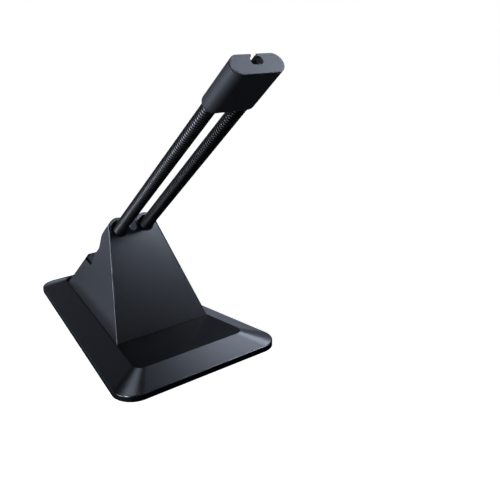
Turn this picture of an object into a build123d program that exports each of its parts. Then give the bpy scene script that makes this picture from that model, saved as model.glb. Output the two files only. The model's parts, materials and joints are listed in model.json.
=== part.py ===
"""Mouse bungee: a weighted desk stand whose two spring arms hold a mouse cable off the desk.

Millimetres, +Z up, the arm leans towards -Y (the front), +X is to the right seen from the front.
The origin is the middle of the rubber pad's lower face, where the stand touches the desk.
"""

import os
from math import cos, radians, sin, sqrt

from build123d import *

# Base, plan and heights
base_front_width = 80.0
base_rear_width = 40.37
base_depth = 128.0
base_corner = 9.0
pad_drop = 0.6  # how far the rubber pad stands out below the rim
rim_height = 2.6
plateau_rise = 3.95
plateau_corner = 4.0
rim_edge_round = 0.5
plateau_edge_round = 0.4

# Base, inside
roof_thickness = 2.0
ballast_inset = 10.0
ballast_thickness = 2.8
ballast_corner = 4.0
cover_inset = 3.0
cover_thickness = 1.6
cover_corner = 6.0
pad_inset = 5.5
pad_thickness = 1.2
pad_corner = 5.0

# Tower
tower_setback = 34.4  # front edge of the base to the foot of the front face
tower_foot_inset = 0.3  # the walls stand this far inside the edge of the plateau
front_lean = 28.2  # degrees from upright, leaning back
wall = 1.1
wall_crest = 2.6  # wall edge above the spring axes, square to the slope
wall_edge_round = 0.35
deck_drop = 5.6  # deck surface below the spring axes
deck_thickness = 1.8
panel_thickness = 2.2
panel_recess = 0.15
panel_lap = 0.5  # the panel's sides lie this far over the walls, in a rebate

# Finger notch in the side walls, places measured down the slope from the front face
ledge_setback = 36.5
notch_depth = 6.4
notch_floor_depth = 3.85
floor_rear_setback = 21.5
floor_front_setback = 15.0
crest_setback = 9.4
ledge_round = 0.8
notch_round = 4.0
crest_round = 5.0
outline_round = 0.3  # corners of cutting outlines that lie in free air

# Spring arm
arm_angle = 40.5  # degrees above the desk
arm_foot_setback = 21.5  # rear edge of the base to the foot of the spring axes on the plateau
arm_length = 93.4  # free spring between the front face and the head
spring_spacing = 13.4
spring_side_room = 5.38  # spring axis to the outer face of the tower's wall
spring_diameter = 5.5
wire_diameter = 1.0
coils_per_rib = 3  # the ribs of the solid stand for groups of coils
root_depth = 7.8
tip_depth = 14.0
mouth_diameter = 8.4  # funnel round each spring in the front face
mouth_depth = 1.8
barrel_radius = 5.2  # rounds over the springs at the top of the front face

# Spring plugs
plug_flange = 1.5
plug_length = 9.0
plug_point = 0.5

# Spring block and rear clip
cable_diameter = 3.0
block_slot_width = 3.4
block_length = 21.0
block_screw_setback = 3.5  # block screws behind the bottom of the spring sockets
clip_setback = 29.0  # upper end of the clip below the front face
clip_radius = 5.0  # rounds of the clip's two jaws
clip_crest_round = 18.0
clip_neck = 2.2
clip_peg_diameter = 4.0
clip_peg_shares = (0.45, 0.8)  # of the clip's length up the slope

# Head
head_thickness = 7.4
head_length = 22.0
head_bottom_round = 2.2
head_floor = 2.0
cap_thickness = 0.6
cap_shadow_gap = 0.35
cap_shadow_depth = 0.6
cap_edge_round = 0.25
cap_peg_diameter = 2.4
cap_peg_length = 3.5
cap_peg_outset = 1.5  # cap pegs outside the spring axes
keyhole_width = 5.2
keyhole_height = 3.2
keyhole_neck = 2.4
keyhole_shift = 1.2  # keyhole centre behind the spring axes
grip_wall = 0.5  # rubber round the keyhole opening, out of sight under the cap

# Screws
tower_screw_diameter = 2.9
tower_screw_head = 5.6
tower_screw_head_height = 1.6
tower_screw_reach = 6.0  # length above the plateau
cover_screw_diameter = 1.9
cover_screw_head = 3.6
cover_screw_head_height = 0.8
cover_screw_reach = 2.4
cover_screw_room = 0.3  # screw head to the edge of the pad
cover_screw_end_inset = 15.0
block_screw_diameter = 2.4
block_screw_head = 4.6
block_screw_head_height = 1.8
block_screw_reach = 3.0
driver_recess = 0.7
slot_long_share = 0.55  # cross recess, shares of the head's diameter
slot_wide_share = 0.15
post_wall = 1.9
post_overlap = 0.2  # share of a post's radius that runs into the side wall
post_skin = 0.8  # plastic left above a blind screw hole
front_post_setback = 10.0
rear_post_share = 0.66  # of the tower's depth
panel_post_spacing = 16.0

# Clearances
fit_gap = 0.1  # round the springs and plugs in their sockets
seat_gap = 0.05  # screws in their holes, pegs in their seats
panel_gap = 0.15  # shadow gap beside the front panel
drop_in_gap = 0.2  # plates and blocks that drop into a pocket
screw_hole_gap = 0.2
cut_margin = 1.0  # cutting shapes run on past the piece by this much
place_tolerance = 0.01

# Places worked out from the driving dimensions
rim_bottom = pad_drop
rim_top = rim_bottom + rim_height
plateau = rim_top + plateau_rise
cover_top = rim_bottom + cover_thickness
roof = plateau - roof_thickness
front_edge = -base_depth / 2
rear_edge = base_depth / 2
tower_front = front_edge + tower_setback
arm_foot = rear_edge - arm_foot_setback
taper_slope = (base_front_width - base_rear_width) / 2 / base_depth
side_stretch = sqrt(1 + taper_slope**2)
spring_x = spring_spacing / 2
spring_radius = spring_diameter / 2
spring_bore = spring_radius - wire_diameter

arm_direction = (0, -cos(radians(arm_angle)), sin(radians(arm_angle)))
slope_plane = Plane(origin=(0, arm_foot, plateau), x_dir=(1, 0, 0), z_dir=arm_direction)
side_plane = Plane(origin=(0, arm_foot, plateau), x_dir=arm_direction, z_dir=(-1, 0, 0))
front_normal = (0, -cos(radians(front_lean)), sin(radians(front_lean)))
front_plane = Plane(origin=(0, tower_front, plateau), x_dir=(1, 0, 0), z_dir=front_normal)

# Up the slope, from the foot of the spring axes to where they pass the front face
front_reach = arm_foot - tower_front
lean_offset = radians(arm_angle - front_lean)
root_face = front_reach * cos(radians(front_lean)) / cos(lean_offset)
root_floor = root_face - root_depth
head_bottom = root_face + arm_length
head_top = head_bottom + head_length
tip_floor = head_bottom + tip_depth
notch_ledge = root_face - ledge_setback
notch_floor_start = root_face - floor_rear_setback
notch_floor_end = root_face - floor_front_setback
notch_crest = root_face - crest_setback
clip_end = root_face - clip_setback
clip_peg_places = [clip_end * share for share in clip_peg_shares]

# Section of the tower square to the slope
wall_slope = taper_slope / sin(radians(arm_angle))
wall_run = wall * sqrt(1 + wall_slope**2)
lip_run = wall_run - panel_lap
foot_half = spring_x + spring_side_room
slope_reach = root_face + base_depth


def half_width(y):
    """Half the width of the base at a place along its depth."""
    return base_front_width / 2 - (y - front_edge) * taper_slope


def side_x(y, inset):
    """Half width of the plan outline at y, moved in square to the side by inset."""
    return half_width(y) - inset * side_stretch


bevel_width = (half_width(arm_foot) - foot_half) / side_stretch - tower_foot_inset
section_depth = front_reach * sin(radians(arm_angle)) + bevel_width


def wall_x(height, inset=0.0):
    """Half width of the tower at a height above the spring axes, less an inset."""
    return foot_half - wall_slope * height - inset


def plan_outline(inset, corner):
    """Plan of the base moved in by inset, with rounded corners."""
    front = front_edge + inset
    rear = rear_edge - inset
    front_half = side_x(front, inset)
    rear_half = side_x(rear, inset)
    corners = [(-front_half, front), (front_half, front), (rear_half, rear), (-rear_half, rear)]
    face = make_face(Polyline(*corners, close=True))
    return fillet(face.vertices(), corner)


def plate(inset, corner, low, high):
    """Flat plate of the base's plan between two heights."""
    return extrude(Pos(0, 0, low) * plan_outline(inset, corner), high - low)


def upright(x, y, low, high, radius):
    """Upright cylinder between two heights."""
    return Pos(x, y, low) * Cylinder(radius, high - low, align=(Align.CENTER, Align.CENTER, Align.MIN))


def cone_head(x, y, low, height, low_radius, high_radius):
    """Countersunk screw head, wide end down."""
    cone = Cone(low_radius, high_radius, height, align=(Align.CENTER, Align.CENTER, Align.MIN))
    return Pos(x, y, low) * cone


def along_slope(sketch, start, end):
    """Sketch of the section, extruded up the slope from start to end."""
    return extrude(slope_plane.offset(start) * sketch, end - start)


def whole_slope(sketch):
    """Sketch of the section, extruded past both ends of the tower."""
    return along_slope(sketch, -slope_reach, slope_reach)


def across(outline, half):
    """Closed side-view outline of points up the slope and square to it, extruded across the tower."""
    return extrude(side_plane * make_face(outline), half, both=True)


def tower_section(low, high, inset):
    """Trapezium between the side walls, moved in by inset, from low to high."""
    low_half = wall_x(low, inset)
    high_half = wall_x(high, inset)
    corners = [(-low_half, low), (low_half, low), (high_half, high), (-high_half, high)]
    return make_face(Polyline(*corners, close=True))


def lobes(radius):
    """Two round tops that lie over the wall edges, centred on the springs."""
    rounds = Pos(-spring_x, 0) * Circle(radius) + Pos(spring_x, 0) * Circle(radius)
    cover = Pos(0, wall_crest + radius) * Rectangle(base_front_width, 2 * radius)
    return rounds & cover


def above_plateau(solid, gap=0.0):
    """The part of a solid that lies above the plateau."""
    return split(solid, Plane.XY.offset(plateau + gap), keep=Keep.TOP)


def behind_front(solid, depth):
    """The part of a solid that lies behind the front face by at least depth."""
    return split(solid, front_plane.offset(-depth), keep=Keep.BOTTOM)


panel_back = panel_recess + panel_thickness
post_radius = tower_screw_diameter / 2 + post_wall
front_post_y = tower_front + front_post_setback
rear_post_y = tower_front + front_reach * rear_post_share
panel_post_y = tower_front + panel_back / cos(radians(front_lean)) + post_radius


def post_x(y):
    """Screw post place beside the tower's inner wall at y."""
    height = (y - arm_foot) * sin(radians(arm_angle))
    return wall_x(height, wall_run) - post_radius * (1 - post_overlap)


shell_posts = [
    (side * post_x(y), y) for y in (front_post_y, rear_post_y) for side in (-1, 1)
]
panel_posts = [(side * panel_post_spacing / 2, panel_post_y) for side in (-1, 1)]
tower_screw_places = shell_posts + panel_posts
cover_hole = cover_screw_diameter / 2 + screw_hole_gap
cover_head = cover_screw_head / 2
cover_screw_inset = pad_inset + cover_head + screw_hole_gap + cover_screw_room
cover_screw_places = [
    (side * side_x(y, cover_screw_inset), y)
    for y in (front_edge + cover_screw_end_inset, rear_edge - cover_screw_end_inset)
    for side in (-1, 1)
]
block_screw_places = [(side * spring_x, root_floor - block_screw_setback) for side in (-1, 1)]
screw_bottom = roof - ballast_thickness
tower_hole = tower_screw_diameter / 2 + screw_hole_gap
tower_head = tower_screw_head / 2
pad_top = pad_thickness


def make_base_shell():
    """Rim, ruled bevel and plateau, hollowed from below for ballast and cover."""
    rim = plate(0, base_corner, rim_bottom, rim_top)
    lower = Pos(0, 0, rim_top) * plan_outline(0, base_corner)
    upper = Pos(0, 0, plateau) * plan_outline(bevel_width, plateau_corner)
    shell = rim + loft([lower, upper], ruled=True)
    rim_edges = shell.edges().filter_by_position(Axis.Z, rim_top, rim_top)
    shell = fillet(rim_edges, rim_edge_round)
    top_edges = shell.edges().filter_by_position(Axis.Z, plateau, plateau)
    shell = fillet(top_edges, plateau_edge_round)
    shell -= plate(cover_inset, cover_corner, rim_bottom, cover_top)
    shell -= plate(ballast_inset, ballast_corner, cover_top, roof)
    for x, y in tower_screw_places:
        shell -= upright(x, y, roof, plateau, tower_hole)
    thread_top = cover_top + cover_screw_reach + seat_gap
    thread_radius = cover_screw_diameter / 2 + seat_gap
    for x, y in cover_screw_places:
        shell -= upright(x, y, cover_top, thread_top, thread_radius)
    return shell


def make_ballast_plate():
    """Steel plate screwed up against the roof of the base."""
    body = plate(ballast_inset + drop_in_gap, ballast_corner, screw_bottom, roof)
    for x, y in tower_screw_places:
        body -= upright(x, y, screw_bottom, roof, tower_hole)
        body -= cone_head(
            x, y, screw_bottom, tower_screw_head_height, tower_head + screw_hole_gap, tower_hole
        )
    return body


def make_bottom_cover():
    """Plate that closes the base, with a shallow pocket for the pad."""
    body = plate(cover_inset + drop_in_gap, cover_corner, rim_bottom, cover_top)
    body -= plate(pad_inset, pad_corner, rim_bottom, pad_top)
    for x, y in cover_screw_places:
        body -= upright(x, y, pad_top, cover_top, cover_hole)
        body -= cone_head(
            x, y, pad_top, cover_screw_head_height, cover_head + screw_hole_gap, cover_hole
        )
    return body


def make_anti_slip_pad():
    """Rubber sheet that stands on the desk."""
    return plate(pad_inset + drop_in_gap, pad_corner, 0, pad_top)


def make_screw(x, y, head_low, head_radius, head_height, shank_radius, top):
    """Countersunk screw, head down, with a cross recess in its head."""
    screw = cone_head(x, y, head_low, head_height, head_radius, shank_radius)
    screw += upright(x, y, head_low, top, shank_radius)
    slot_long = 2 * head_radius * slot_long_share
    slot_wide = 2 * head_radius * slot_wide_share
    for size in ((slot_long, slot_wide), (slot_wide, slot_long)):
        recess = Box(*size, driver_recess, align=(Align.CENTER, Align.CENTER, Align.MIN))
        screw -= Pos(x, y, head_low) * recess
    return screw


def make_tower_screws():
    """Six screws from below, four into the tower's posts and two into the front panel's."""
    top = plateau + tower_screw_reach
    radius = tower_screw_diameter / 2
    height = tower_screw_head_height
    return [
        make_screw(x, y, screw_bottom, tower_head, height, radius, top)
        for x, y in tower_screw_places
    ]


def make_cover_screws():
    """Four short screws of the bottom cover, under the pad."""
    top = cover_top + cover_screw_reach
    radius = cover_screw_diameter / 2
    height = cover_screw_head_height
    return [
        make_screw(x, y, pad_top, cover_head, height, radius, top) for x, y in cover_screw_places
    ]


def screw_post(x, y):
    """Post on the plateau for a tower screw."""
    return upright(x, y, plateau, plateau + tower_screw_reach + post_skin, post_radius)


def post_hole(x, y):
    """Blind hole of a screw post."""
    reach = tower_screw_reach + seat_gap
    return upright(x, y, plateau, plateau + reach, tower_screw_diameter / 2 + seat_gap)


def notch_outline():
    """Side view of the finger notch: level ledge, shallow floor and a curved rise to the crest."""
    crest = wall_crest
    ledge_run = cos(radians(arm_angle)) / sin(radians(arm_angle))
    sky = crest + 2 * barrel_radius
    points = [
        (notch_ledge - (sky - crest) * ledge_run, sky),
        (notch_ledge + notch_depth * ledge_run, crest - notch_depth),
        (notch_floor_start, crest - notch_floor_depth),
        (notch_floor_end, crest - notch_floor_depth),
        (notch_crest, crest),
        (root_face, crest),
        (root_face, sky),
    ]
    air = outline_round
    rounds = [air, ledge_round, notch_round, notch_round, crest_round, air, air]
    return FilletPolyline(*points, radius=rounds, close=True)


def make_tower_shell():
    """Side walls and sloping deck of the wedge tower, open to the front and below."""
    outer = whole_slope(tower_section(-section_depth, wall_crest, 0))
    outer = behind_front(above_plateau(outer), 0)
    front_edges = [
        edge
        for edge in outer.edges()
        if abs(front_plane.to_local_coords(edge.center()).Z) < place_tolerance
        and edge.center().Z > plateau + place_tolerance
        and abs(edge.center().X) > place_tolerance
    ]
    outer = fillet(front_edges, wall_edge_round)
    deck_under = -deck_drop - deck_thickness
    over = wall_crest + cut_margin
    hollow = whole_slope(tower_section(-section_depth, deck_under, wall_run))
    trough = whole_slope(tower_section(-deck_drop, over, wall_run))
    inside = along_slope(tower_section(-section_depth, over, lip_run), 0, slope_reach)
    rebate = split(inside, front_plane.offset(-panel_back), keep=Keep.TOP)
    shell = outer - hollow - trough - rebate
    inner = whole_slope(tower_section(-section_depth, -deck_drop, wall_run / 2))
    for x, y in shell_posts:
        shell += screw_post(x, y) & inner
    for x, y in shell_posts:
        shell -= post_hole(x, y)
    shell -= across(notch_outline(), base_front_width)
    deck_middle = -deck_drop - deck_thickness / 2
    peg_hole = peg_shape(clip_peg_diameter / 2 + seat_gap, deck_thickness)
    for place in clip_peg_places:
        shell -= slope_plane * Pos(0, deck_middle, place) * peg_hole
    screw_hole = peg_shape(block_screw_diameter / 2 + screw_hole_gap, deck_thickness)
    for x, place in block_screw_places:
        shell -= slope_plane * Pos(x, deck_middle, place) * screw_hole
    return shell


def peg_shape(radius, length):
    """Cylinder square to the deck, centred."""
    return Rot(90, 0, 0) * Cylinder(radius, length)


def cable_slot():
    """Slot between the springs: a round bottom of the slot's width, open upwards."""
    depth = 2 * barrel_radius
    slot = Pos(0, depth / 2) * Rectangle(block_slot_width, depth)
    return slot + Circle(block_slot_width / 2)


def make_front_panel():
    """Leaning front plate with a two-lobed top, funnel mouths for the springs and a cable slot."""
    section = tower_section(-section_depth, wall_crest, lip_run + panel_gap) + lobes(barrel_radius)
    section -= cable_slot()
    panel = behind_front(above_plateau(whole_slope(section), seat_gap), panel_recess)
    panel = split(panel, front_plane.offset(-panel_back), keep=Keep.TOP)
    for x, y in panel_posts:
        panel += behind_front(screw_post(x, y), panel_back)
    for x, y in panel_posts:
        panel -= post_hole(x, y)
    hole_radius = spring_radius + 2 * fit_gap
    for side in (-1, 1):
        hole = Cylinder(hole_radius, 4 * panel_back)
        cone = Cone(hole_radius, mouth_diameter / 2, 2 * mouth_depth)
        panel -= slope_plane * Pos(side * spring_x, 0, root_face) * hole
        panel -= slope_plane * Pos(side * spring_x, 0, root_face - panel_recess) * cone
    return panel


def make_spring_block():
    """Double-barrelled block on the deck, with the root sockets and the cable slot."""
    section = tower_section(-deck_drop, wall_crest, wall_run + drop_in_gap) + lobes(barrel_radius)
    section -= cable_slot()
    start = root_face - block_length
    block = behind_front(along_slope(section, start, slope_reach), panel_back)
    low = wall_crest - notch_floor_depth
    sky = 2 * barrel_radius
    rise = (notch_crest - notch_floor_end) / notch_floor_depth
    air = outline_round
    rear = FilletPolyline(
        (start - cut_margin, low),
        (notch_floor_end, low),
        (notch_floor_end + (sky - low) * rise, sky),
        (start - cut_margin, sky),
        radius=[air, notch_round, air, air],
        close=True,
    )
    block -= across(rear, base_front_width)
    for side in (-1, 1):
        socket = Cylinder(
            spring_radius + fit_gap, slope_reach, align=(Align.CENTER, Align.CENTER, Align.MIN)
        )
        block -= slope_plane * Pos(side * spring_x, 0, root_floor) * socket
    hole = peg_shape(block_screw_diameter / 2 + seat_gap, block_screw_reach + seat_gap)
    for x, place in block_screw_places:
        block -= slope_plane * Pos(x, -deck_drop + block_screw_reach / 2, place) * hole
    return block


def make_block_screws():
    """Two pan-head screws from under the deck into the spring block."""
    shank = deck_thickness + block_screw_reach
    height = block_screw_head_height
    under = -deck_drop - deck_thickness
    screw = Pos(0, shank / 2, 0) * peg_shape(block_screw_diameter / 2, shank)
    screw += Pos(0, -height / 2, 0) * peg_shape(block_screw_head / 2, height)
    slot_long = block_screw_head * slot_long_share
    slot_wide = block_screw_head * slot_wide_share
    for turn in (0, 90):
        recess = Rot(0, turn, 0) * Box(slot_long, driver_recess, slot_wide)
        screw -= Pos(0, driver_recess / 2 - height, 0) * recess
    return [slope_plane * Pos(x, under, place) * screw for x, place in block_screw_places]


def make_rear_cable_clip():
    """Rubber clip on the lower deck: two rounded jaws with a keyhole channel between them."""
    section = tower_section(-deck_drop, wall_crest, wall_run + drop_in_gap) + lobes(clip_radius)
    section -= Circle(cable_diameter / 2)
    section -= Pos(0, clip_radius) * Rectangle(clip_neck, 2 * clip_radius)
    clip = above_plateau(along_slope(section, -slope_reach, clip_end), drop_in_gap)
    turn = radians(arm_angle)
    sky = 2 * clip_radius
    crest_start = (clip_end - clip_crest_round * sin(turn), clip_radius)
    crest_end = (clip_end, clip_radius - clip_crest_round * (1 - cos(turn)))
    crest = RadiusArc(crest_start, crest_end, clip_crest_round)
    rest = Polyline(crest_end, (clip_end, sky), (crest_start[0], sky), crest_start)
    clip -= across(crest + rest, base_front_width)
    peg = peg_shape(clip_peg_diameter / 2, deck_thickness)
    for place in clip_peg_places:
        clip += slope_plane * Pos(0, -deck_drop - deck_thickness / 2, place) * peg
    return clip


def make_spring(side):
    """Close-wound coil spring as a ribbed tube, plain where it sits in its sockets."""
    start = root_floor + plug_flange + seat_gap
    end = tip_floor - plug_flange - seat_gap
    rib_depth = wire_diameter / 2
    rib_count = round(arm_length / (coils_per_rib * wire_diameter))
    pitch = arm_length / rib_count
    points = [(spring_bore, start), (spring_radius, start), (spring_radius, root_face)]
    for rib in range(rib_count):
        low = root_face + rib * pitch
        points.append((spring_radius - rib_depth, low + pitch / 2))
        points.append((spring_radius, low + pitch))
    points += [(spring_radius, end), (spring_bore, end)]
    profile = make_face(Polyline(*points, close=True))
    spring = revolve(Plane.XZ * profile, Axis.Z)
    return slope_plane * Pos(side * spring_x, 0, 0) * spring


def make_plug(side, floor, way):
    """Stud with a flange at the bottom of a socket, reaching into the end of a spring."""
    radius = spring_bore - fit_gap
    flange = Cylinder(spring_radius, plug_flange, align=(Align.CENTER, Align.CENTER, Align.MIN))
    stud = Cylinder(radius, plug_length, align=(Align.CENTER, Align.CENTER, Align.MIN))
    stud = chamfer(stud.edges().sort_by(Axis.Z)[-1], plug_point)
    plug = flange + stud
    if way < 0:
        plug = Rot(180, 0, 0) * plug
    return slope_plane * Pos(side * spring_x, 0, floor) * plug


def head_outline(inset=0.0):
    """Stadium section of the head, its round ends centred on the springs."""
    return SlotCenterToCenter(spring_spacing, head_thickness - 2 * inset)


def keyhole(grow=0.0):
    """Oval cable opening of the head."""
    oval = SlotOverall(keyhole_width + 2 * grow, keyhole_height + 2 * grow)
    return Pos(0, keyhole_shift) * oval


def neck():
    """Narrow way from the cable opening out through the back of the head."""
    reach = head_thickness
    return Pos(0, keyhole_shift + reach / 2) * Rectangle(keyhole_neck, reach)


def edges_at(solid, place):
    """Edges of a solid that lie square to the arm at a place along it."""
    return [
        edge
        for edge in solid.edges()
        if abs(slope_plane.to_local_coords(edge.center()).Z - place) < place_tolerance
    ]


def make_head_body():
    """Head with the tip sockets, the grip's pocket and the cable's way in from the back."""
    top = head_top - cap_thickness - cap_shadow_gap
    body = along_slope(head_outline(), head_bottom, top)
    body = fillet(edges_at(body, head_bottom), head_bottom_round)
    body -= along_slope(keyhole() + neck(), head_bottom, head_top)
    body -= along_slope(keyhole(grip_wall + seat_gap), head_bottom + head_floor, top)
    for side in (-1, 1):
        socket = Pos(side * spring_x, 0) * Circle(spring_radius + fit_gap)
        body -= along_slope(socket, head_bottom, tip_floor)
        peg = Pos(side * (spring_x + cap_peg_outset), 0) * Circle(cap_peg_diameter / 2 + seat_gap)
        body -= along_slope(peg, top - cap_peg_length - seat_gap, top)
    return body


def make_head_cap():
    """Top plate of the head on two pegs, with a shadow gap round its underside."""
    top_edge = head_top - cap_thickness
    cap = along_slope(head_outline(), top_edge, head_top)
    cap = fillet(edges_at(cap, head_top), cap_edge_round)
    cap += along_slope(head_outline(cap_shadow_depth), top_edge - cap_shadow_gap, top_edge)
    cap -= along_slope(keyhole() + neck(), head_bottom, head_top)
    peg_top = top_edge - cap_shadow_gap
    for side in (-1, 1):
        peg = Pos(side * (spring_x + cap_peg_outset), 0) * Circle(cap_peg_diameter / 2)
        cap += along_slope(peg, peg_top - cap_peg_length, peg_top)
    return cap


def make_head_cable_grip():
    """Rubber liner inside the head, with a round channel that is open to the back."""
    low = head_bottom + head_floor
    high = head_top - cap_thickness - cap_shadow_gap
    section = keyhole(grip_wall) - Pos(0, keyhole_shift) * Circle(cable_diameter / 2)
    return along_slope(section - neck(), low, high)


def main():
    """Build every piece and write one STEP file for each."""
    os.makedirs("parts", exist_ok=True)
    pieces = {
        "base_shell": make_base_shell(),
        "ballast_plate": make_ballast_plate(),
        "bottom_cover": make_bottom_cover(),
        "cover_screws": make_cover_screws(),
        "anti_slip_pad": make_anti_slip_pad(),
        "tower_shell": make_tower_shell(),
        "front_panel": make_front_panel(),
        "tower_screws": make_tower_screws(),
        "spring_block": make_spring_block(),
        "block_screws": make_block_screws(),
        "rear_cable_clip": make_rear_cable_clip(),
        "left_spring": make_spring(-1),
        "right_spring": make_spring(1),
        "left_lower_plug": make_plug(-1, root_floor, 1),
        "right_lower_plug": make_plug(1, root_floor, 1),
        "left_upper_plug": make_plug(-1, tip_floor, -1),
        "right_upper_plug": make_plug(1, tip_floor, -1),
        "head_body": make_head_body(),
        "head_cap": make_head_cap(),
        "head_cable_grip": make_head_cable_grip(),
    }
    for name, piece in pieces.items():
        shape = Compound(children=piece) if isinstance(piece, list) else piece
        export_step(shape, f"parts/{name}.step")


main()
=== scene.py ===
"""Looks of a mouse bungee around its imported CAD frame: finishes, wound springs, studio and camera.

Metres, +Z up, the arm leans towards -Y (the front), +X is to the right seen from the front.
"""

import json
import logging
import math
from dataclasses import dataclass
from enum import Enum

import bpy
from mathutils import Matrix, Vector


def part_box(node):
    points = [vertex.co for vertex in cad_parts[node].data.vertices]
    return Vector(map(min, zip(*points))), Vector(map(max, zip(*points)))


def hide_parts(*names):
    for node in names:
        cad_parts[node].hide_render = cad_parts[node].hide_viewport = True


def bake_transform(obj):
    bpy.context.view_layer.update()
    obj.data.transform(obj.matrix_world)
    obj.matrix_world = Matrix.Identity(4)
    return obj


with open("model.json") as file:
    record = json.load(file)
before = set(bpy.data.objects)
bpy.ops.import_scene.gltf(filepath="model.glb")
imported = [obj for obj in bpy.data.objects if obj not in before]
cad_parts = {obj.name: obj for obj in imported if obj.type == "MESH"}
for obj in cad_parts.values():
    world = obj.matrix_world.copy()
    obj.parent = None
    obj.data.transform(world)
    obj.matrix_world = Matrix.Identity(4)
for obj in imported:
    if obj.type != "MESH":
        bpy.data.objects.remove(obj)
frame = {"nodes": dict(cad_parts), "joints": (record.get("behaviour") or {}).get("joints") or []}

log = logging.getLogger("mouse_bungee")
millimetre = 0.001

# Colour sockets of a Mix node, which share their names with those of its other types.
mix_factor, mix_first, mix_second, mix_result = 0, 6, 7, 2


def linear(hex_colour: str) -> tuple[float, float, float, float]:
    """Turn an sRGB hex colour into linear RGBA.

    Args:
        hex_colour: six hex digits after a hash sign.

    Returns:
        Linear red, green and blue, with full alpha.
    """
    parts = [int(hex_colour[i : i + 2], 16) / 255 for i in (1, 3, 5)]
    knee, toe_slope, offset, power = 0.04045, 12.92, 0.055, 2.4
    values = [
        part / toe_slope if part <= knee else ((part + offset) / (1 + offset)) ** power
        for part in parts
    ]
    return (values[0], values[1], values[2], 1.0)


def per_metre(feature_mm: float) -> float:
    """Texture scale at which one feature is this many millimetres across."""
    return 1 / (feature_mm * millimetre)


def add_node(
    tree: bpy.types.NodeTree,
    kind: str,
    inputs: dict[str | int, object] | None = None,
    links: dict[str | int, bpy.types.NodeSocket] | None = None,
    **settings: object,
) -> bpy.types.Node:
    """Add one shader node with its settings and links.

    Args:
        tree: node tree that gets the node.
        kind: Blender's type name of the node.
        inputs: fixed values of input sockets, by name or number.
        links: output sockets that feed input sockets, by name or number.
        **settings: properties of the node itself.

    Returns:
        The new node.
    """
    node = tree.nodes.new(kind)
    for name, value in settings.items():
        setattr(node, name, value)
    for name, value in (inputs or {}).items():
        node.inputs[name].default_value = value
    for name, socket in (links or {}).items():
        tree.links.new(socket, node.inputs[name])
    return node


def empty_material(name: str) -> tuple[bpy.types.Material, bpy.types.NodeTree]:
    """Start a node material with nothing in it.

    Args:
        name: name of the material.

    Returns:
        The material and its node tree.
    """
    material = bpy.data.materials.new(name)
    material.use_nodes = True
    material.node_tree.nodes.clear()
    return material, material.node_tree


@dataclass(frozen=True)
class MouldedPlastic:
    """ABS moulded in a spark-eroded tool: satin or matt, faintly pebbled, with edges that catch the light.

    Attributes:
        name: the finish, as the maker would call it.
        colour: sRGB colour of the pigment.
        cast: sRGB colour of the slightly greyer patches that handling and flow leave.
        roughness: middle roughness of the skin.
        roughness_swing: how far the gloss wanders either side of that.
        grain_mm: size of the pebbles, drawn a little coarser than the tool's so that they show.
        grain_depth_mm: height of the pebbles.
        grain_detail: finer and finer layers in the pebbles.
        grain_falloff: strength of each finer layer.
        edge_mm: radius that the tool leaves on edges.
        edge_samples: rays that look for an edge.
        patch_mm: size of the greyer patches.
        patch_detail: finer and finer layers in the patches.
        patch_falloff: strength of each finer layer.
        specular: specular level of the skin.
        ior: refractive index of ABS.
    """

    name: str
    colour: str
    cast: str
    roughness: float = 0.45
    roughness_swing: float = 0.01
    grain_mm: float = 0.5
    grain_depth_mm: float = 0.006
    grain_detail: float = 2.0
    grain_falloff: float = 0.55
    edge_mm: float = 0.25
    edge_samples: int = 6
    patch_mm: float = 14.0
    patch_detail: float = 1.0
    patch_falloff: float = 0.4
    specular: float = 0.5
    ior: float = 1.52

    def material(self) -> bpy.types.Material:
        """Build the finish as a node material."""
        material, tree = empty_material(self.name)
        place = add_node(tree, "ShaderNodeTexCoord").outputs["Object"]
        patches = add_node(
            tree,
            "ShaderNodeTexNoise",
            {
                "Scale": per_metre(self.patch_mm),
                "Detail": self.patch_detail,
                "Roughness": self.patch_falloff,
            },
            {"Vector": place},
        ).outputs["Fac"]
        pebbles = add_node(
            tree,
            "ShaderNodeTexNoise",
            {
                "Scale": per_metre(self.grain_mm),
                "Detail": self.grain_detail,
                "Roughness": self.grain_falloff,
            },
            {"Vector": place},
        ).outputs["Fac"]
        tint = add_node(
            tree,
            "ShaderNodeMix",
            {mix_first: linear(self.colour), mix_second: linear(self.cast)},
            {mix_factor: patches},
            data_type="RGBA",
        ).outputs[mix_result]
        gloss = add_node(
            tree,
            "ShaderNodeMapRange",
            {
                "To Min": self.roughness - self.roughness_swing,
                "To Max": self.roughness + self.roughness_swing,
            },
            {"Value": patches},
        ).outputs["Result"]
        soft_edge = add_node(
            tree, "ShaderNodeBevel", {"Radius": self.edge_mm * millimetre}, samples=self.edge_samples
        ).outputs["Normal"]
        skin = add_node(
            tree,
            "ShaderNodeBump",
            {"Strength": 1.0, "Distance": self.grain_depth_mm * millimetre},
            {"Height": pebbles, "Normal": soft_edge},
        ).outputs["Normal"]
        surface = add_node(
            tree,
            "ShaderNodeBsdfPrincipled",
            {"IOR": self.ior, "Specular IOR Level": self.specular},
            {"Base Color": tint, "Roughness": gloss, "Normal": skin},
        )
        add_node(tree, "ShaderNodeOutputMaterial", links={"Surface": surface.outputs["BSDF"]})
        return material


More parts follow.
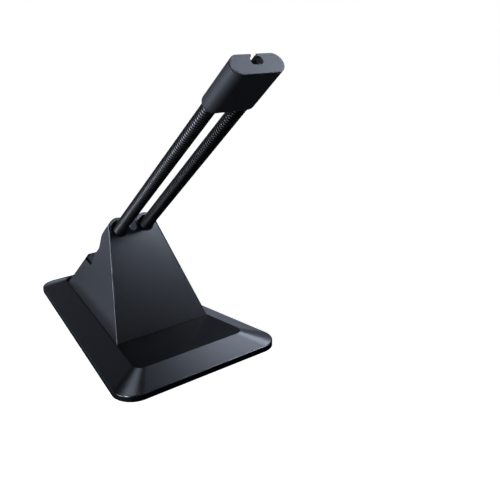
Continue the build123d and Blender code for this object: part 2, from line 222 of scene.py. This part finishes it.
@dataclass(frozen=True)
class SoftRubber:
    """Moulded silicone rubber: dull, with a dusty sheen and a fine grain.

    Attributes:
        name: the finish, as the maker would call it.
        colour: sRGB colour of the rubber.
        dust: sRGB colour of its raised grain.
        grain_mm: size of the grain, drawn coarse enough to show.
        grain_depth_mm: height of the grain.
        grain_detail: finer and finer layers in the grain.
        roughness: roughness of the skin.
        ior: refractive index of silicone.
        specular: specular level of the skin.
        sheen: strength of the dusty sheen.
        sheen_roughness: spread of the sheen.
    """

    name: str
    colour: str
    dust: str
    grain_mm: float = 0.8
    grain_depth_mm: float = 0.02
    grain_detail: float = 3.0
    roughness: float = 0.68
    ior: float = 1.41
    specular: float = 0.65
    sheen: float = 0.01
    sheen_roughness: float = 0.4

    def material(self) -> bpy.types.Material:
        """Build the finish as a node material."""
        material, tree = empty_material(self.name)
        place = add_node(tree, "ShaderNodeTexCoord").outputs["Object"]
        grain = add_node(
            tree,
            "ShaderNodeTexNoise",
            {"Scale": per_metre(self.grain_mm), "Detail": self.grain_detail},
            {"Vector": place},
        ).outputs["Fac"]
        tint = add_node(
            tree,
            "ShaderNodeMix",
            {mix_first: linear(self.colour), mix_second: linear(self.dust)},
            {mix_factor: grain},
            data_type="RGBA",
        ).outputs[mix_result]
        skin = add_node(
            tree,
            "ShaderNodeBump",
            {"Strength": 1.0, "Distance": self.grain_depth_mm * millimetre},
            {"Height": grain},
        ).outputs["Normal"]
        surface = add_node(
            tree,
            "ShaderNodeBsdfPrincipled",
            {
                "IOR": self.ior,
                "Specular IOR Level": self.specular,
                "Roughness": self.roughness,
                "Sheen Weight": self.sheen,
                "Sheen Roughness": self.sheen_roughness,
            },
            {"Base Color": tint, "Normal": skin},
        )
        add_node(tree, "ShaderNodeOutputMaterial", links={"Surface": surface.outputs["BSDF"]})
        return material


@dataclass(frozen=True)
class BlackSpringWire:
    """Spring steel with an oiled black oxide skin: near black, with a grey glint of the oil on each crest.

    Dust that sticks in the oil dulls the grooves between the coils, so that each coil shows.

    Attributes:
        name: the finish, as the maker would call it.
        colour: sRGB colour of the oxide.
        worn: sRGB colour where the oxide is thin.
        patch_mm: size of the thin places.
        patch_detail: finer and finer layers in the thin places.
        patch_falloff: strength of each finer layer.
        roughness: roughness of the polished crests.
        groove_roughness: roughness of the dull grooves between the coils.
        groove_mm: how far off a neighbouring coil makes a groove.
        groove_samples: rays that look for a neighbouring coil.
        groove_openness: openness at which a place counts as deep in a groove.
        crest_openness: openness at which a place counts as a crest.
        ior: refractive index of the oil.
        glint: sRGB tint of what it mirrors.
    """

    name: str
    colour: str
    worn: str
    patch_mm: float = 2.5
    patch_detail: float = 4.0
    patch_falloff: float = 0.6
    roughness: float = 0.22
    groove_roughness: float = 0.9
    groove_mm: float = 0.5
    groove_samples: int = 8
    groove_openness: float = 0.55
    crest_openness: float = 0.95
    ior: float = 1.46
    glint: str = "#fff8f3"

    def material(self) -> bpy.types.Material:
        """Build the finish as a node material."""
        material, tree = empty_material(self.name)
        place = add_node(tree, "ShaderNodeTexCoord").outputs["Object"]
        thin = add_node(
            tree,
            "ShaderNodeTexNoise",
            {
                "Scale": per_metre(self.patch_mm),
                "Detail": self.patch_detail,
                "Roughness": self.patch_falloff,
            },
            {"Vector": place},
        ).outputs["Fac"]
        tint = add_node(
            tree,
            "ShaderNodeMix",
            {mix_first: linear(self.colour), mix_second: linear(self.worn)},
            {mix_factor: thin},
            data_type="RGBA",
        ).outputs[mix_result]
        openness = add_node(
            tree,
            "ShaderNodeAmbientOcclusion",
            {"Distance": self.groove_mm * millimetre},
            samples=self.groove_samples,
        ).outputs["AO"]
        gloss = add_node(
            tree,
            "ShaderNodeMapRange",
            {
                "From Min": self.groove_openness,
                "From Max": self.crest_openness,
                "To Min": self.groove_roughness,
                "To Max": self.roughness,
            },
            {"Value": openness},
        ).outputs["Result"]
        surface = add_node(
            tree,
            "ShaderNodeBsdfPrincipled",
            {"IOR": self.ior, "Specular Tint": linear(self.glint)},
            {"Base Color": tint, "Roughness": gloss},
        )
        add_node(tree, "ShaderNodeOutputMaterial", links={"Surface": surface.outputs["BSDF"]})
        return material


@dataclass(frozen=True)
class ZincPlate:
    """Zinc-plated steel: bright grey, cloudy from the bath.

    Attributes:
        name: the finish, as the maker would call it.
        colour: sRGB colour of the zinc.
        cloud: sRGB colour of its duller clouds.
        cloud_mm: size of the clouds.
        cloud_detail: finer and finer layers in the clouds.
        bright_roughness: roughness where the zinc is clear.
        dull_roughness: roughness where it is cloudy.
    """

    name: str
    colour: str
    cloud: str
    cloud_mm: float = 6.0
    cloud_detail: float = 4.0
    bright_roughness: float = 0.28
    dull_roughness: float = 0.5

    def material(self) -> bpy.types.Material:
        """Build the finish as a node material."""
        material, tree = empty_material(self.name)
        place = add_node(tree, "ShaderNodeTexCoord").outputs["Object"]
        clouds = add_node(
            tree,
            "ShaderNodeTexNoise",
            {"Scale": per_metre(self.cloud_mm), "Detail": self.cloud_detail},
            {"Vector": place},
        ).outputs["Fac"]
        tint = add_node(
            tree,
            "ShaderNodeMix",
            {mix_first: linear(self.colour), mix_second: linear(self.cloud)},
            {mix_factor: clouds},
            data_type="RGBA",
        ).outputs[mix_result]
        gloss = add_node(
            tree,
            "ShaderNodeMapRange",
            {"To Min": self.bright_roughness, "To Max": self.dull_roughness},
            {"Value": clouds},
        ).outputs["Result"]
        surface = add_node(
            tree,
            "ShaderNodeBsdfPrincipled",
            {"Metallic": 1.0},
            {"Base Color": tint, "Roughness": gloss},
        )
        add_node(tree, "ShaderNodeOutputMaterial", links={"Surface": surface.outputs["BSDF"]})
        return material


class Finish(Enum):
    """The finishes of this object."""

    SHELL = MouldedPlastic("black_textured_abs", "#0a0c0e", "#0d1013", roughness=0.24)
    PANEL = MouldedPlastic("black_satin_abs", "#0b0b0e", "#0f1013", roughness=0.28)
    HEAD = MouldedPlastic(
        "black_textured_abs_head", "#0b0c0f", "#0f1114", roughness=0.62, edge_mm=0.12, specular=0.72
    )
    COVER = MouldedPlastic("plain_black_abs", "#0f1012", "#131416", roughness=0.55)
    CLIP = SoftRubber("black_silicone", "#08090a", "#0d0e10")
    PAD = SoftRubber("black_grip_rubber", "#0c0c0d", "#141415", grain_mm=1.2, grain_depth_mm=0.05)
    SPRING = BlackSpringWire("black_oxide_spring_steel", "#060607", "#0a0a0b")
    ZINC = ZincPlate("zinc_plated_steel", "#9a9ca0", "#7f8287")


class Dresser:
    """Keeps one material for each finish and puts it on pieces."""

    def __init__(self) -> None:
        """Start with no materials made."""
        self.made: dict[Finish, bpy.types.Material] = {}

    def put(self, piece: bpy.types.Object, finish: Finish) -> None:
        """Give a piece a finish in place of what it has.

        Args:
            piece: mesh object to dress.
            finish: what it is made of.
        """
        if finish not in self.made:
            self.made[finish] = finish.value.material()
        piece.data.materials.clear()
        piece.data.materials.append(self.made[finish])
        log.info("%s: %s", piece.name, finish.value.name)

    def put_on_nodes(self, finishes: dict[str, Finish]) -> None:
        """Give CAD nodes their finishes, by the nodes' names."""
        for name, finish in finishes.items():
            self.put(frame["nodes"][name], finish)


@dataclass
class WeightedBase:
    """Rim, bevel and plateau with the ballast, cover and rubber pad under them.

    Attributes:
        dresser: what puts the finishes on.
    """

    dresser: Dresser

    def dress(self) -> None:
        """Put the finishes on the base's pieces."""
        self.dresser.put_on_nodes(
            {
                "base_shell": Finish.SHELL,
                "ballast_plate": Finish.ZINC,
                "bottom_cover": Finish.COVER,
                "cover_screws": Finish.ZINC,
                "anti_slip_pad": Finish.PAD,
            }
        )


@dataclass
class WedgeTower:
    """Side walls, front panel, spring block and rear clip.

    Attributes:
        dresser: what puts the finishes on.
    """

    dresser: Dresser

    def dress(self) -> None:
        """Put the finishes on the tower's pieces."""
        self.dresser.put_on_nodes(
            {
                "tower_shell": Finish.SHELL,
                "front_panel": Finish.PANEL,
                "tower_screws": Finish.ZINC,
                "spring_block": Finish.PANEL,
                "block_screws": Finish.ZINC,
                "rear_cable_clip": Finish.CLIP,
            }
        )


@dataclass
class SpringArm:
    """The two close-wound springs and the plugs in their ends.

    Each spring is wound in a lower and an upper length, which meet half way between the two bending places.
    The real coils are about 1 mm apart; these are wound a little coarser, so that they show.

    Attributes:
        dresser: what puts the finishes on.
        wire: thickness of the wire.
        coil_pitch: distance from coil to coil, before it is fitted to a whole number of turns.
        wire_sides: flat sides round the wire.
        steps_per_turn: straight lengths in one turn.
        merge_share: share of the wire's thickness within which corners are one.
        bend_reach: distance either side of a joint over which the springs would bend; not used.
    """

    dresser: Dresser
    wire: float = 1.2 * millimetre
    coil_pitch: float = 1.3 * millimetre
    wire_sides: int = 8
    steps_per_turn: int = 28
    merge_share: float = 0.001
    bend_reach: float = 20 * millimetre

    def __post_init__(self) -> None:
        """Read the arm's line and its bending places from the frame's joints."""
        places = {joint["name"]: Vector(joint["pos_m"]) for joint in frame["joints"]}
        self.flex = places["arm_flex"]
        self.sway = places["arm_sway"]
        self.direction = (self.sway - self.flex).normalized()
        self.middle = (self.flex + self.sway) / 2

    def ends(self, node: str) -> tuple[Vector, Vector, float]:
        """Find the line of one spring from its CAD node.

        Args:
            node: name of the spring's node.

        Returns:
            The middles of its lower and upper end, and its outer diameter.
        """
        corners = [vertex.co for vertex in frame["nodes"][node].data.vertices]
        reach = [(corner - self.middle).dot(self.direction) for corner in corners]
        low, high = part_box(node)
        centre = self.middle + Vector(((low.x + high.x) / 2, 0, 0))
        return centre + min(reach) * self.direction, centre + max(reach) * self.direction, high.x - low.x

    def wind(self, name: str, start: Vector, end: Vector, diameter: float) -> bpy.types.Object:
        """Wind one length of close coils between two points.

        Args:
            name: name of the piece.
            start: where the wire's middle starts, seen along the spring.
            end: where the wire's middle ends, a whole number of turns further on.
            diameter: outer diameter of the coils.

        Returns:
            The wound piece, in place.
        """
        length = (end - start).length
        turns = round(length / self.coil_pitch)
        bpy.ops.object.select_all(action="DESELECT")
        bpy.ops.mesh.primitive_circle_add(
            vertices=self.wire_sides,
            radius=self.wire / 2,
            location=((diameter - self.wire) / 2, 0, 0),
            rotation=(math.pi / 2, 0, 0),
        )
        piece = bpy.context.active_object
        piece.name = name
        bpy.ops.object.transform_apply(location=True, rotation=True, scale=True)
        bpy.ops.object.modifier_add(type="SCREW")
        screw = piece.modifiers[-1]
        screw.axis = "Z"
        screw.angle = 2 * math.pi
        screw.screw_offset = length / turns
        screw.iterations = turns
        screw.steps = self.steps_per_turn
        screw.render_steps = self.steps_per_turn
        bpy.ops.object.modifier_apply(modifier=screw.name)
        bpy.ops.object.mode_set(mode="EDIT")
        bpy.ops.mesh.select_all(action="SELECT")
        bpy.ops.mesh.remove_doubles(threshold=self.wire * self.merge_share)
        bpy.ops.mesh.select_all(action="DESELECT")
        bpy.ops.mesh.select_non_manifold()
        bpy.ops.mesh.fill_holes(sides=self.wire_sides)
        bpy.ops.mesh.select_all(action="SELECT")
        bpy.ops.mesh.normals_make_consistent(inside=False)
        bpy.ops.object.mode_set(mode="OBJECT")
        bpy.ops.object.shade_smooth()
        turn = Vector((0, 0, 1)).rotation_difference(end - start).to_matrix().to_4x4()
        piece.matrix_world = Matrix.Translation(start) @ turn
        bpy.ops.object.transform_apply(location=True, rotation=True, scale=True)
        return piece

    def build(self) -> None:
        """Wind both springs, each in a lower and an upper length, in place of their CAD nodes."""
        for node in ("left_spring", "right_spring"):
            start, end, diameter = self.ends(node)
            halfway = start + self.direction * (self.middle - start).dot(self.direction)
            half_wire = self.wire / 2 * self.direction
            lower = self.wind(f"{node}_lower_coils", start + half_wire, halfway, diameter)
            upper = self.wind(f"{node}_upper_coils", halfway, end - half_wire, diameter)
            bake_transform(lower)
            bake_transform(upper)
            for piece in (lower, upper):
                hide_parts(node)
                self.dresser.put(piece, Finish.SPRING)

    def dress(self) -> None:
        """Put the finishes on the arm's hidden plugs."""
        sides = ("left", "right")
        levels = ("lower", "upper")
        self.dresser.put_on_nodes(
            {f"{side}_{level}_plug": Finish.COVER for side in sides for level in levels}
        )


@dataclass
class CableHead:
    """Oval head at the tip of the arm, with a keyhole slot and a rubber liner.

    Attributes:
        dresser: what puts the finishes on.
    """

    dresser: Dresser

    def dress(self) -> None:
        """Put the finishes on the head's pieces."""
        self.dresser.put_on_nodes(
            {
                "head_body": Finish.HEAD,
                "head_cap": Finish.HEAD,
                "head_cable_grip": Finish.CLIP,
            }
        )


@dataclass(frozen=True)
class SoftBox:
    """A large soft light.

    Attributes:
        name: what it does.
        azimuth: degrees from +X towards +Y where it stands.
        elevation: degrees above the desk; one below it shines through the floor, which blocks no light.
        distance: metres from what it lights.
        width: metres across.
        power: watts.
        colour: sRGB colour of its light.
        on_matt: whether it also lights matt surfaces, or shows only in gloss.
    """

    name: str
    azimuth: float
    elevation: float
    distance: float
    width: float
    power: float
    colour: str = "#d9e4fa"
    on_matt: bool = False

    def build(self, target: Vector) -> None:
        """Stand the light round a target and aim it there.

        Args:
            target: point that it faces.
        """
        around = math.radians(self.azimuth)
        above = math.radians(self.elevation)
        away = Vector(
            (math.cos(above) * math.cos(around), math.cos(above) * math.sin(around), math.sin(above))
        )
        lamp = bpy.data.lights.new(self.name, "AREA")
        lamp.shape = "DISK"
        lamp.size = self.width
        lamp.energy = self.power
        lamp.color = linear(self.colour)[:3]
        stand = bpy.data.objects.new(self.name, lamp)
        bpy.context.scene.collection.objects.link(stand)
        stand.location = target + away * self.distance
        stand.rotation_mode = "QUATERNION"
        stand.rotation_quaternion = away.to_track_quat("Z", "Y")
        stand.visible_camera = False
        stand.visible_diffuse = self.on_matt


@dataclass
class Studio:
    """Lit white table, soft lights, plain surroundings and the camera at the photograph's angle.

    Attributes:
        floor_width: metres across the floor.
        floor_colour: sRGB colour of the floor.
        floor_roughness: roughness of the floor.
        floor_glow: strength of the floor's own light, which keeps it white.
        surround: strength of the surroundings as a light; the soft lights do all the work.
        camera_place: where the camera stands.
        camera_target: point in the middle of its picture.
        lens: focal length in millimetres.
        sensor_width: width of the film in millimetres.
        nearest: metres from the camera at which its view starts.
        light_target: point that the lights face.
        lights: the soft lights.
    """

    floor_width: float = 12.0
    floor_colour: str = "#f4f4f4"
    floor_roughness: float = 0.9
    floor_glow: float = 1.12
    surround: float = 0.0
    camera_place: tuple[float, float, float] = (-0.1294, -0.2537, 0.1393)
    camera_target: tuple[float, float, float] = (0.0364, -0.0449, 0.0406)
    lens: float = 46.46
    sensor_width: float = 36.0
    nearest: float = 0.01
    light_target: tuple[float, float, float] = (0.0, -0.015, 0.06)
    lights: tuple[SoftBox, ...] = (
        SoftBox("right_rear_softbox", 25, 42, 0.9, 0.42, 2.95),
        SoftBox("right_softbox", -18, 44, 0.9, 0.25, 1.9),
        SoftBox("right_front_softbox", -40, 36, 0.4, 0.12, 1.25),
        SoftBox("low_front_softbox", -35, 12, 0.3, 0.1, 0.2),
        SoftBox("left_softbox", 178, -8, 0.7, 0.35, 4.9),
        SoftBox("left_front_softbox", 208, -8, 0.7, 0.35, 1.4),
        SoftBox("left_strip", 203, 22, 0.8, 0.15, 3.6, on_matt=True),
        SoftBox("high_left_strip", 203, 36, 0.8, 0.15, 8.0),
        SoftBox("high_rear_softbox", 88, 66, 0.9, 0.3, 0.9),
        SoftBox("rear_left_softbox", 92, 28, 0.8, 0.3, 0.045),
        SoftBox("rear_right_softbox", 51, 27, 0.9, 0.3, 0.025),
        SoftBox("left_card", 122, -14, 0.7, 0.5, 0.34),
        SoftBox("rear_left_card", 88, -4, 0.7, 0.4, 0.24),
        SoftBox("rear_card", 52, -5, 0.7, 0.35, 0.15),
        SoftBox("right_card", 28, 17, 0.9, 0.5, 0.28),
        SoftBox("front_card", -90, 55, 0.9, 0.5, 0.5),
    )

    def build_floor(self) -> None:
        """Lay a pale floor under the object."""
        bpy.ops.object.select_all(action="DESELECT")
        bpy.ops.mesh.primitive_plane_add(size=self.floor_width, location=(0, 0, 0))
        floor = bpy.context.active_object
        floor.name = "studio_floor"
        material, tree = empty_material("pale_floor")
        surface = add_node(
            tree,
            "ShaderNodeBsdfPrincipled",
            {
                "Base Color": linear(self.floor_colour),
                "Roughness": self.floor_roughness,
                "Specular IOR Level": 0.0,
                "Emission Color": linear(self.floor_colour),
                "Emission Strength": self.floor_glow,
            },
        )
        add_node(tree, "ShaderNodeOutputMaterial", links={"Surface": surface.outputs["BSDF"]})
        floor.data.materials.append(material)
        floor.visible_diffuse = False
        floor.visible_glossy = False
        floor.visible_shadow = False

    def build_surround(self) -> None:
        """Make the surroundings white to the eye and dark as a light."""
        world = bpy.data.worlds.new("studio_surround")
        bpy.context.scene.world = world
        world.use_nodes = True
        tree = world.node_tree
        tree.nodes.clear()
        seen = add_node(tree, "ShaderNodeLightPath").outputs["Is Camera Ray"]
        dark = add_node(tree, "ShaderNodeBackground", {"Strength": self.surround})
        white = add_node(tree, "ShaderNodeBackground", {"Strength": 1.0, "Color": (1, 1, 1, 1)})
        both = add_node(
            tree,
            "ShaderNodeMixShader",
            links={0: seen, 1: dark.outputs[0], 2: white.outputs[0]},
        )
        add_node(tree, "ShaderNodeOutputWorld", links={"Surface": both.outputs[0]})

    def build_camera(self) -> None:
        """Stand the camera where the photograph was taken from."""
        lens = bpy.data.cameras.new("photo_camera")
        lens.lens = self.lens
        lens.sensor_width = self.sensor_width
        lens.clip_start = self.nearest
        camera = bpy.data.objects.new("photo_camera", lens)
        bpy.context.scene.collection.objects.link(camera)
        place = Vector(self.camera_place)
        camera.location = place
        camera.rotation_mode = "QUATERNION"
        camera.rotation_quaternion = (Vector(self.camera_target) - place).to_track_quat("-Z", "Y")
        bpy.context.scene.camera = camera

    def build(self) -> None:
        """Set up the whole studio."""
        bpy.context.scene.view_settings.view_transform = "Standard"
        self.build_floor()
        self.build_surround()
        for light in self.lights:
            light.build(Vector(self.light_target))
        self.build_camera()


def main() -> None:
    """Build the pieces in order, then the studio."""
    logging.basicConfig(level=logging.INFO, format="%(name)s: %(message)s")
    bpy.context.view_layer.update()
    dresser = Dresser()
    WeightedBase(dresser).dress()
    WedgeTower(dresser).dress()
    arm = SpringArm(dresser)
    arm.build()
    arm.dress()
    CableHead(dresser).dress()
    Studio().build()


if __name__ == "__main__":
    main()
